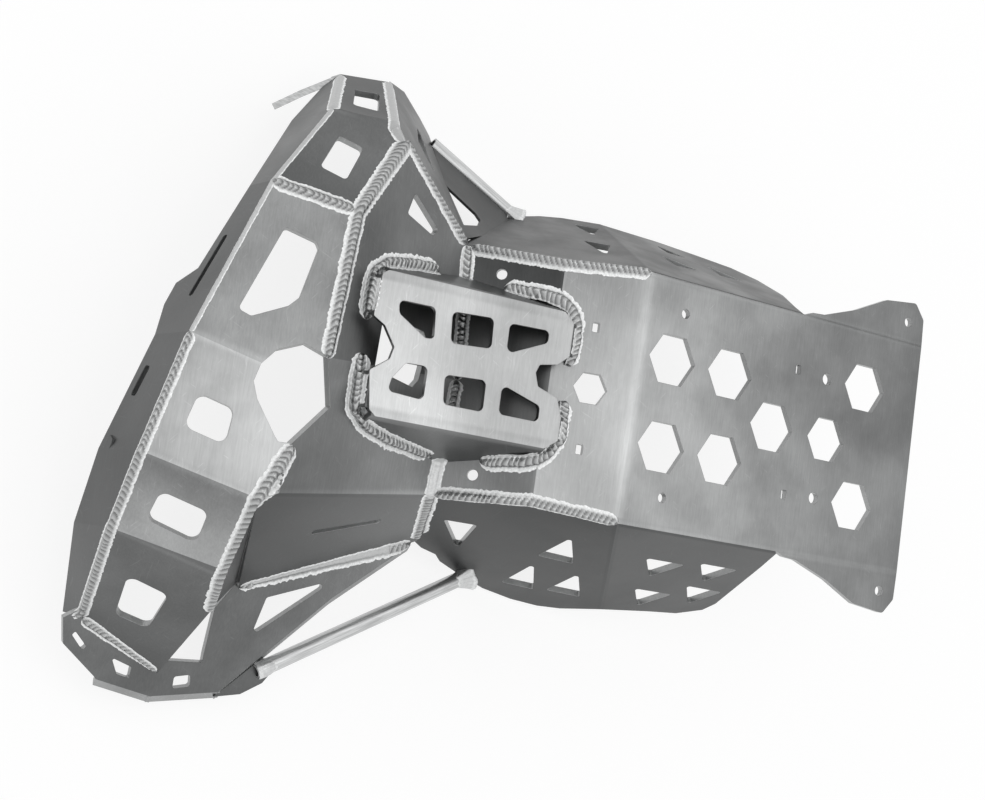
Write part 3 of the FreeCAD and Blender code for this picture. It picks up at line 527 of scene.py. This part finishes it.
# Beads round the four corners of the channel: places along each
CHANNEL_BEADS = {
    "front_left_channel_weld": [
        (400, 65, 51), (424, 63, 41), (448, 57, 32), (459, 47, 27.5), (460, 31, 26.5), (460, 15, 26)],
    "rear_left_channel_weld": [
        (350, 62, 44), (326, 61, 25.5), (309, 55, 16), (303, 45, 13.5), (303, 28, 13), (304, 13, 13)],
    "front_right_channel_weld": [
        (384, -63, 56), (427, -58, 40), (448, -53, 31), (459, -44, 26), (460, -26, 24), (460, -8, 23.5)],
    "rear_right_channel_weld": [
        (350, -62.5, 43), (325, -59.5, 23), (311, -52, 15.5), (305, -40, 13.5), (304, -22, 13),
        (304, -12, 13)],
}

# The channel's beads: their size against the large bead, the middle that they run round, where the
# riser ends and the belly starts along the bike, and the way each of those two faces
CHANNEL_SIZE = 1.42
CHANNEL_MIDDLE = Vector((383, 0, 10))
BELLY_START = 372
RISER_OUT = Vector((0.4, 0, -0.92))
BELLY_OUT = Vector((-0.36, 0, -0.93))

# The places across a bead, as shares of its half width: the crown with its ripples ends at the
# crown's edge, and the frosted border lies outside
CROWN_EDGE = 0.58
BORDER = 0.6
HALF_PROFILE = [0.16, 0.32, 0.46, CROWN_EDGE, 0.7, 0.8, 0.9, 1.0]
PROFILE = [-q for q in reversed(HALF_PROFILE)] + [0.0] + HALF_PROFILE

# How a bead lies, in millimetres: how far off a sheet is looked for, how far the bead follows it, over
# how much its corners and the sheets' steps are rounded, how deep its edges sink in, and how far its crown
# keeps clear of the sheets
REACH = 20.0
WRAP = 6.0
ROUNDING = 3.5
CALM, CHANNEL_CALM = 0.9, 2.4
EDGE_SINK = 0.2
CROWN_CLEAR = 0.4

# Shares: the width left at a bead's tips, the crown's height where it is smooth, the ripples left
# there, the place of a ripple's crest in its pitch, its height, the level that ripples lie round, and
# how far the crown's middle runs ahead of its edges, in pitches
TIP = 0.03
SMOOTH_CROWN = 0.4
SMOOTH_RIPPLE = 0.15
CREST = 0.8
CREST_HEIGHT = 0.86
RIPPLE_LEVEL = 0.45
CRESCENT = 0.8

# What changes at random along a bead: by how much, and over about how many millimetres
WIDTH_FINE, WIDTH_BROAD = (0.14, 2), (0.12, 9)
CROWN_WAVER, RIPPLE_WAVER, RIPPLE_DRIFT = (0.25, 5), (0.4, 6), (0.6, 12)
BORDER_LIFT, BORDER_GRIT = 0.3, (0.18, 1.2)


def bead_stretches(name):
    """A bead's size, its corners, and for each stretch both sheets' directions and the way it faces."""
    if name in CHANNEL_BEADS:
        points = [Vector(p) for p in CHANNEL_BEADS[name]]
        stretches = []
        for a, b in zip(points[:-1], points[1:]):
            run = (b - a).normalized()
            ground = RISER_OUT if (a.x + b.x) / 2 < BELLY_START else BELLY_OUT
            ground = (ground - run * ground.dot(run)).normalized()
            away = (a + b) / 2 - CHANNEL_MIDDLE
            away = away - run * away.dot(run)
            away = (away - ground * away.dot(ground)).normalized()
            stretches.append((away, ground, (away + ground).normalized()))
        return CHANNEL_SIZE, points, stretches
    size, names, (first, last), sides = {**BEADS, **FINE_BEADS}[name]
    points = [place(n) for n in names]
    points[0] = points[0] + (points[1] - points[0]).normalized() * first
    points[-1] = points[-1] + (points[-2] - points[-1]).normalized() * last
    stretches = []
    for a, b, (one, two, out) in zip(points[:-1], points[1:], sides):
        ends = [place(p) if isinstance(p, str) else Vector(p) for p in (one, two)]
        run = (b - a).normalized()
        feet = [(p - a - run * (p - a).dot(run)).normalized() for p in ends]
        stretches.append((feet[0], feet[1], Vector(out).normalized()))
    return size, points, stretches


def bead_rows(points, stretches, step):
    """Every step along a bead: its middle, both sheets' directions and its facing, with round corners."""
    rows = []
    for a, b, (one, two, out) in zip(points[:-1], points[1:], stretches):
        count = max(2, round((b - a).length / step))
        rows += [(a + (b - a) * (k / count), one, two, out) for k in range(count)]
    rows.append((points[-1],) + stretches[-1])
    reach = round(ROUNDING / step)
    rounded = []
    for k in range(len(rows)):
        room = min(reach, k, len(rows) - 1 - k)
        near = rows[k - room:k + room + 1]
        rounded.append([sum((row[j] for row in near), Vector()) / len(near) for j in range(4)])
    return rounded


def sheet_surface():
    """The sheets' faces, for the beads to lie on."""
    corners, faces = [], []
    for node_name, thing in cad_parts.items():
        if not node_name.endswith("_weld"):
            first = len(corners)
            corners += [v.co / MM for v in thing.data.vertices]
            faces += [[first + k for k in p.vertices] for p in thing.data.polygons]
    return BVHTree.FromPolygons(corners, faces)


def level(surface, point, way):
    """How far the sheet lies from a point, along the way the bead faces, or None where there is none."""
    found = surface.ray_cast(point + way * REACH, -way, 2 * REACH)[0]
    return None if found is None else max(-WRAP, min(WRAP, (found - point).dot(way)))


def steady(levels, reach):
    """The levels along one edge of a bead, gaps filled and steps rounded."""
    known = [v for v in levels if v is not None]
    last = known[0] if known else 0.0
    filled = []
    for v in levels:
        last = last if v is None else v
        filled.append(last)
    windows = [filled[max(0, k - reach):k + reach + 1] for k in range(len(filled))]
    return [sum(window) / len(window) for window in windows]


def waver(kind, s, row, column):
    """A random change along a bead; each row and column gives a change of its own."""
    amount, wave = kind
    return amount * noise.noise(Vector((s / wave, row, column)))


def bead_plan(name, rows, step, half, seed):
    """For each row: how far along it is, its middle, facing and taper, and its spots across.

    A spot is a place across the bead before it is laid on the sheets, with the way out from there.
    """
    length = step * (len(rows) - 1)
    plan = []
    for k, (middle, one, two, out) in enumerate(rows):
        s = k * step
        run = (rows[min(k + 1, len(rows) - 1)][0] - rows[max(k - 1, 0)][0]).normalized()
        one, two, out = [(way - run * way.dot(run)).normalized() for way in (one, two, out)]
        end = min(s, length - s, half) / half
        taper = math.sqrt(max(0.0, 1 - (1 - end) ** 2)) * (1 - TIP) + TIP
        sides = []
        for foot, row in ((one, seed + 5), (two, seed + 10)):
            width = half * taper * (1 + waver(WIDTH_FINE, s, row, 3) + waver(WIDTH_BROAD, s, row, 9))
            sides.append((foot, width, (out - foot * out.dot(foot)).normalized()))
        spots = []
        for q in PROFILE:
            foot, width, outward = sides[0] if q < 0 else sides[1]
            way = (out * (1 - abs(q)) + outward * abs(q)).normalized()
            spots.append((middle + foot * width * abs(q), out if name in CHANNEL_BEADS else way))
        plan.append((s, middle, out, taper, spots))
    return plan


def ripple_height(s, pitch, arch, drift):
    """How high up a ripple a place lies, from 0 in the valley: a slow rise and a quick fall."""
    phase = (s / pitch + CRESCENT * arch + drift) % 1.0
    return phase ** 0.7 if phase < CREST else CREST_HEIGHT * (1 - phase) / (1 - CREST)


def lay_bead(name, sizes, material, seed, surface):
    """A bead as a mesh: frosted borders on both sheets, and a crown of overlapping crescents between."""
    size, points, stretches = bead_stretches(name)
    step = sizes.step / MM
    rows = bead_rows(points, stretches, step)
    plan = bead_plan(name, rows, step, sizes.half_width / MM * size, seed)
    across = len(PROFILE)
    calm = round((CHANNEL_CALM if name in CHANNEL_BEADS else CALM) / step)
    levels = [steady([level(surface, *row[-1][j]) for row in plan], calm) for j in range(across)]
    first, last = PROFILE.index(-CROWN_EDGE), PROFILE.index(CROWN_EDGE)
    smooth_from, smooth_to, frosted = SMOOTH.get(name, (0, 0, 0))
    corners, marks = [], []
    for k, (s, middle, out, taper, spots) in enumerate(plan):
        lie = [spot + way * levels[j][k] for j, (spot, way) in enumerate(spots)]
        base = (lie[first] + lie[last]) / 2
        chord = max(0.0, (base - middle).dot(out), levels[across // 2][k])
        smooth = smooth_from < s < smooth_to
        height = SMOOTH_CROWN if smooth else 1 + waver(CROWN_WAVER, s, seed, 7)
        handle = (middle + out * (chord + sizes.crown / MM * size * taper * height)) * 2 - base
        drift = waver(RIPPLE_DRIFT, s, seed, 1)
        lumpy = SMOOTH_RIPPLE if smooth else 1 + waver(RIPPLE_WAVER, s, seed, 4)
        for j, q in enumerate(PROFILE):
            way = spots[j][1]
            if abs(q) > BORDER:
                outer = (abs(q) - BORDER) / (1 - BORDER)
                lift = (BORDER_LIFT * (1 - outer ** 2) + waver(BORDER_GRIT, s, q * 9, seed)) * taper
                corners.append((lie[j] + way * (lift if abs(q) < 1 else -EDGE_SINK)) * MM)
                marks.append((min(1.0, 0.6 + outer), 0.6, 0.0, 1.0))
                continue
            t = (q / CROWN_EDGE + 1) / 2
            point = lie[first] * (1 - t) ** 2 + handle * 2 * t * (1 - t) + lie[last] * t ** 2
            point = point + way * max(0.0, (lie[j] - point).dot(way) + CROWN_CLEAR)
            arch = max(0.0, 1 - (q / BORDER) ** 2)
            rise = ripple_height(s, sizes.pitch / MM, arch, drift)
            swing = sizes.ripple / MM * arch ** 0.6 * taper * lumpy
            point = point + out * (rise - RIPPLE_LEVEL) * swing
            corners.append(point * MM)
            # Green: how high up a ripple, which the material paints as shade in the valleys and highlight
            # on the crests
            mark = (frosted, 0.5) if smooth else (max(0.0, 0.45 - arch * 1.4), rise)
            marks.append(mark + (0.0, 1.0))
    faces = []
    for k in range(len(rows) - 1):
        for j in range(across - 1):
            a = k * across + j
            faces.append((a, a + 1, a + across + 1, a + across))
    if name in FINE_BEADS:
        thing = add_weld(name, corners, faces, marks, material)
    else:
        thing = add_weld(name + "_bead", corners, faces, marks, material)
        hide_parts(name)

    # Which sheet comes first decides which way the faces turn, so they are turned outward here
    middle_face = thing.data.polygons[(len(rows) // 2) * (across - 1) + across // 2]
    if middle_face.normal.dot(rows[len(rows) // 2][3]) < 0:
        thing.data.flip_normals()
    return thing


# Flared beads where the brace tubes meet the sheets: the tube's end, the way out of the tube there, and
# how far the bead spreads over the sheet
COLLARS = {
    "right_tube_wing_collar": ((285, -145, 160), (-163, 89, 9), 6.5),
    "right_tube_end_collar": ((447, -233.5, 151), (163, -89, -9), 0.6),
    "left_tube_wing_collar": ((289, 148.5, 158), (-80, -38, 0), 5.5),
}
TUBE_RADIUS = 6.0

# A collar, in millimetres: its length, how much of it lies back along the tube, the radius at which it
# is turned in under the sheet and how far past the tube's end, then its corners round and along
COLLAR_LENGTH, COLLAR_BACK = 13.0, 10.0
COLLAR_RIM, COLLAR_RIM_OUT = 4.0, 3.5
TURNS, RINGS, RIPPLES = 128, 14, 16


def lay_collar(name, material, seed):
    """A lumpy flare of weld round a tube's end, turned in at the sheet, with faint ripples across."""
    end, out, spread = COLLARS[name]
    end, out = Vector(end), Vector(out).normalized()
    side = out.cross(Vector((0, 0, 1))).normalized()
    up = side.cross(out)
    corners, marks = [], []
    for k in range(TURNS):
        angle = math.tau * k / TURNS
        radial = side * math.cos(angle) + up * math.sin(angle)
        lump = 1 + 0.3 * noise.noise(Vector((1.5 * math.cos(angle), 1.5 * math.sin(angle), seed)))
        ripple = (k * RIPPLES / TURNS) % 1.0
        for j in range(RINGS):
            t = j / (RINGS - 1)
            swell = math.sin(math.pi * t) * (0.9 * lump + 0.2 * (ripple - 0.5))
            radius = TUBE_RADIUS - 0.3 + spread * lump * t ** 2 + swell
            corners.append((end + radial * radius + out * (COLLAR_LENGTH * t - COLLAR_BACK) * lump) * MM)
            # Green: how high up a ripple, which the material paints as shade in the valleys and highlight
            # on the crests
            marks.append((0.8 if t > 0.8 or t < 0.1 else 0.4, 0.6 + 0.3 * ripple, 0.0, 1.0))
        corners.append((end + radial * COLLAR_RIM + out * COLLAR_RIM_OUT) * MM)
        marks.append((0.5, 0.6, 0.0, 1.0))
    faces = []
    for k in range(TURNS):
        for j in range(RINGS):
            a, b = k * (RINGS + 1) + j, ((k + 1) % TURNS) * (RINGS + 1) + j
            faces.append((a, b, b + 1, a + 1))
    return add_weld(name, corners, faces, marks, material)


def add_mesh(name, corners, faces, material):
    mesh = bpy.data.meshes.new(name)
    mesh.from_pydata(corners, [], faces)
    mesh.materials.append(material)
    thing = bpy.data.objects.new(name, mesh)
    bpy.context.scene.collection.objects.link(thing)
    return thing


def add_weld(name, corners, faces, marks, material):
    """A weld's mesh object, with its borders and ripples kept as a colour for the material."""
    thing = add_mesh(name, corners, faces, material)
    thing.data.polygons.foreach_set("use_smooth", [True] * len(faces))
    paint = thing.data.color_attributes.new("bead", "FLOAT_COLOR", "POINT")
    paint.data.foreach_set("color", [v for mark in marks for v in mark])
    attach(thing, "root")
    return thing


# Plates by the tubes: outline, window of as many points or none, and thickness
PLATES = {
    "left_tube_gusset": (
        [(373, 185, 152), (298, 149, 153), (310, 127, 137), (340, 113, 101), (377, 97, 66)],
        [(373, 147, 115), (347, 129, 116.5), (344, 124, 113), (350, 117, 102.5), (369, 112, 85)],
        2.0),
    "right_tube_foot": (
        [(477, -256, 158), (447, -224, 150.5), (437, -234, 155), (442, -243, 157), (457, -252.5, 159)],
        None, 3.0),
}


def cut_plate(name, material):
    """A cut plate as a mesh: both faces, the cut edges, and the window where it has one."""
    outline, window, thick = PLATES[name]
    loops = [[Vector(p) for p in loop] for loop in (outline, window) if loop]
    flat = loops[0]
    middle = sum(flat, Vector()) / len(flat)
    normal = (flat[1] - flat[0]).cross(flat[-1] - flat[0]).normalized()
    corners = []
    for half in (-0.5, 0.5):
        for loop in loops:
            corners += [(p - normal * ((p - middle).dot(normal) - half * thick)) * MM for p in loop]
    count = len(flat)
    top = count * len(loops)
    faces = []
    for k in range(count):
        m = (k + 1) % count
        faces.append((m, k, top + k, top + m))
        if window:
            faces.append((k, m, count + m, count + k))
            faces.append((top + m, top + k, top + count + k, top + count + m))
            faces.append((count + k, count + m, top + count + m, top + count + k))
    if not window:
        faces += [tuple(range(count)), tuple(reversed(range(top, top + count)))]
    thing = add_mesh(name, corners, faces, material)
    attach(thing, "root")
    return thing


# The sheets of the model, and the tubes and the tab with the lie of each
SHEETS = ("skid_plate", "belly_plate", "front_band", "band_top_plate", "right_end_plate",
          "left_end_plate", "front_wall", "bump_channel")
TUBES = {"right_brace_tube": -28.6, "left_brace_tube": 25.4, "mounting_tab": 0.0}


class GUARD_OT_sheets(bpy.types.Operator):
    """Give the rolled sheets their finish"""

    bl_idname = "guard.sheets"
    bl_label = "Finish sheets"

    def execute(self, context):
        finish = context.scene.guard_finish
        for node_name in SHEETS:
            finish_node(node_name, bare_sheet(node_name, finish))
        for name in PLATES:
            cut_plate(name, bare_sheet(name, finish))
        return {"FINISHED"}


class GUARD_OT_tubes(bpy.types.Operator):
    """Give the brace tubes and the tab their finish"""

    bl_idname = "guard.tubes"
    bl_label = "Finish tubes"

    def execute(self, context):
        for node_name, lie in TUBES.items():
            finish_node(node_name, drawn_tube(node_name, lie, context.scene.guard_finish))
        return {"FINISHED"}


class GUARD_OT_welds(bpy.types.Operator):
    """Lay a rippled bead over each weld"""

    bl_idname = "guard.welds"
    bl_label = "Lay weld beads"

    def execute(self, context):
        material = weld_metal(context.scene.guard_finish)
        surface = sheet_surface()
        for seed, name in enumerate(list(BEADS) + list(CHANNEL_BEADS) + list(FINE_BEADS)):
            lay_bead(name, context.scene.guard_beads, material, seed * 17.3, surface)
        for seed, name in enumerate(COLLARS):
            lay_collar(name, material, seed * 3.1)
        return {"FINISHED"}


# Stage, in metres, with the lens in millimetres. The guard is seen from below, and lies on its rim with
# its open side down, so the pale floor is above it in the frame
CAMERA_PLACE = (0.8423, -0.1467, -0.8771)
CAMERA_RIGHT = (-0.863, 0.143, -0.485)
CAMERA_UP = (0.184, 0.982, -0.038)
CAMERA_BACK = (0.471, -0.122, -0.874)
SENSOR_WIDTH, FOCAL_LENGTH = 36.0, 53.73
WHITE = (1.0, 1.0, 1.0, 1.0)
PAPER = (0.85, 0.85, 0.85, 1.0)
FLOOR_GAP = 0.004
FLOOR_CORNERS = [(-3, 3), (3.6, 3), (3.6, -3), (-3, -3)]

# How bright the surroundings and the floor are as light on the guard, and as seen
WORLD_LIGHT, WORLD_SEEN = 0.75, 1.0
FLOOR_GLOW, FLOOR_SEEN = 1.12, 0.72

# Each lamp's place, side and watts, and the point that both face
LAMPS = {
    "overhead_softbox": ((0.18, 0.1, -1.2), 0.7, 1.1),
    "side_softbox": ((1.2, 0.9, -0.9), 0.6, 0.9),
}
LAMP_TARGET = (0.3, 0.0, 0.05)


def soft_lamp(name):
    where, wide, watts = LAMPS[name]
    lamp = bpy.data.lights.new(name, "AREA")
    lamp.shape = "RECTANGLE"
    lamp.size = wide
    lamp.size_y = wide
    lamp.energy = watts
    thing = bpy.data.objects.new(name, lamp)
    thing.location = where
    thing.rotation_mode = "QUATERNION"
    thing.rotation_quaternion = (Vector(LAMP_TARGET) - Vector(where)).to_track_quat("-Z", "Y")
    bpy.context.scene.collection.objects.link(thing)
    return thing


def seen_share(tree):
    """1 for rays that show a thing to the eye, straight, mirrored or through glass, and 0 for light."""
    rays = add_node(tree, "ShaderNodeLightPath").outputs
    seen = math_node(tree, "ADD", rays["Is Camera Ray"], rays["Is Glossy Ray"])
    return math_node(tree, "ADD", seen, rays["Is Transmission Ray"], clamp=True)


def studio_world():
    world = bpy.data.worlds.new("studio")
    world.use_nodes = True
    tree = world.node_tree
    tree.nodes.clear()
    strength = span(tree, seen_share(tree), 0.0, 1.0, WORLD_LIGHT, WORLD_SEEN)
    glow = add_node(tree, "ShaderNodeBackground", {}, {"Color": WHITE, "Strength": strength})
    add_node(tree, "ShaderNodeOutputWorld", {}, {"Surface": glow.outputs[0]})
    return world


def white_paper():
    """White paper that glows a little where it is seen, and is clear from behind."""
    material = new_material("white_paper_floor")
    tree = material.node_tree
    paper = add_node(tree, "ShaderNodeBsdfDiffuse", {}, {"Color": PAPER}).outputs[0]
    white = add_node(tree, "ShaderNodeEmission", {}, {"Color": WHITE, "Strength": FLOOR_GLOW}).outputs[0]
    share = math_node(tree, "MULTIPLY", seen_share(tree), FLOOR_SEEN)
    sheet = add_node(tree, "ShaderNodeMixShader", {}, {0: share, 1: paper, 2: white}).outputs[0]
    clear = add_node(tree, "ShaderNodeBsdfTransparent").outputs[0]
    back = add_node(tree, "ShaderNodeNewGeometry").outputs["Backfacing"]
    shown = add_node(tree, "ShaderNodeMixShader", {}, {0: back, 1: sheet, 2: clear}).outputs[0]
    add_node(tree, "ShaderNodeOutputMaterial", {}, {"Surface": shown})
    return material


class GUARD_OT_stage(bpy.types.Operator):
    """Set the camera, the pale backdrop and the soft lamps"""

    bl_idname = "guard.stage"
    bl_label = "Set stage"

    def execute(self, context):
        scene = context.scene
        scene.view_settings.view_transform = "Standard"
        lens = bpy.data.cameras.new("camera")
        lens.sensor_width = SENSOR_WIDTH
        lens.lens = FOCAL_LENGTH
        lens.clip_start = 0.01
        camera = bpy.data.objects.new("camera", lens)
        axes = Matrix((CAMERA_RIGHT, CAMERA_UP, CAMERA_BACK)).transposed().to_4x4()
        camera.matrix_world = Matrix.Translation(CAMERA_PLACE) @ axes
        scene.collection.objects.link(camera)
        scene.camera = camera
        scene.world = studio_world()

        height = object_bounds()[1].z + FLOOR_GAP
        corners = [(x, y, height) for x, y in FLOOR_CORNERS]
        floor = add_mesh("pale_floor", corners, [(0, 1, 2, 3)], white_paper())
        floor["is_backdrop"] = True
        for name in LAMPS:
            soft_lamp(name)
        return {"FINISHED"}


class GUARD_PT_panel(bpy.types.Panel):
    """The engine guard's finishes, beads and stage"""

    bl_idname = "GUARD_PT_panel"
    bl_label = "Engine guard"
    bl_space_type = "VIEW_3D"
    bl_region_type = "UI"
    bl_category = "Engine guard"

    def draw(self, context):
        scene = context.scene
        for group in (scene.guard_finish, scene.guard_beads):
            box = self.layout.box()
            for key in group.bl_rna.properties.keys():
                if key not in ("rna_type", "name"):
                    box.prop(group, key)
        for made in OPERATORS:
            self.layout.operator(made.bl_idname)


GROUPS = (GuardFinish, GuardBeads)
OPERATORS = (GUARD_OT_sheets, GUARD_OT_tubes, GUARD_OT_welds, GUARD_OT_stage)


def register():
    for made in GROUPS + OPERATORS + (GUARD_PT_panel,):
        bpy.utils.register_class(made)
    bpy.types.Scene.guard_finish = bpy.props.PointerProperty(type=GuardFinish)
    bpy.types.Scene.guard_beads = bpy.props.PointerProperty(type=GuardBeads)


def unregister():
    del bpy.types.Scene.guard_beads
    del bpy.types.Scene.guard_finish
    for made in reversed(GROUPS + OPERATORS + (GUARD_PT_panel,)):
        bpy.utils.unregister_class(made)


def main():
    register()
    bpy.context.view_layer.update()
    bpy.ops.guard.sheets()
    bpy.ops.guard.tubes()
    bpy.ops.guard.welds()
    bpy.ops.guard.stage()


if __name__ == "__main__":
    main()
